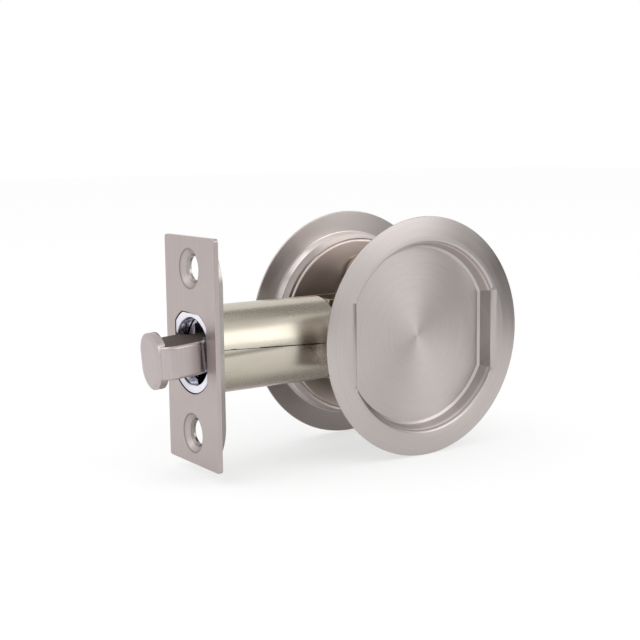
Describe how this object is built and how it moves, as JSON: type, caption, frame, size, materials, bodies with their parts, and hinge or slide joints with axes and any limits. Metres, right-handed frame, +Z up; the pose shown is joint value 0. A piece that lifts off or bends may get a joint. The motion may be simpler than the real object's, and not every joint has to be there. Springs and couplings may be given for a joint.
{
  "type": "pocket door lock",
  "caption": "Round flush pocket door lock: two recessed pulls, a tube and face plate, and a sprung T-headed edge pull that slides flush into the plate.",
  "frame": {"origin": "centre of the face plate's front, on the latch tube's axis, in the middle of the door's thickness", "axes": "+X into the door along the tube, +Y towards the rear rose, +Z up; the front rose faces -Y"},
  "size_m": [0.104, 0.037, 0.0634],
  "materials": {
    "satin_nickel": "brushed satin nickel plate",
    "bolt_nickel": "brushed on the sides, bright nickel on the top and bottom",
    "yellow_zinc": "yellow-green zinc plate, half gloss",
    "bright_zinc": "bright zinc",
    "plain_steel": "plain bright steel",
    "black_rubber": "matt black rubber",
    "post_zinc": "dull cast zinc",
    "screw_nickel": "nickel plate, half gloss"
  },
  "bodies": {
    "lock_case": {"faceplate": "satin_nickel", "back_plate": "yellow_zinc", "latch_tube": "yellow_zinc", "bolt_collar": "bright_zinc", "tail_guide": "bright_zinc", "tail_housing": "yellow_zinc", "front_rose": "satin_nickel", "rear_rose": "satin_nickel", "front_cup": "satin_nickel", "rear_cup": "satin_nickel", "upper_post": "post_zinc", "lower_post": "post_zinc", "upper_screw": "screw_nickel", "lower_screw": "screw_nickel", "bolt_spring": "plain_steel"},
    "carrier": {"bolt_carrier": "bright_zinc", "pivot_pin": "plain_steel", "pull_rod": "plain_steel", "buffer_washer": "black_rubber", "rod_clip": "plain_steel"},
    "edge_pull": {"hook_bolt": "bolt_nickel"}
  },
  "joints": [
    {"name": "bolt_slide", "type": "slide", "parent": "lock_case", "child": "carrier", "axis": [1, 0, 0], "range_m": [0, 0.01155], "stiffness_N_per_m": 250, "springref_m": -0.012, "deforming": ["bolt_spring"]},
    {"name": "bolt_tilt", "type": "hinge", "parent": "carrier", "child": "edge_pull", "pos_m": [0.0064, 0, 0], "axis": [0, 1, 0], "range_deg": [0, 4.4]}
  ],
  "couplings": [
    {"joint": "bolt_tilt", "follows": "bolt_slide", "rad_per_m": 6.648}
  ]
}
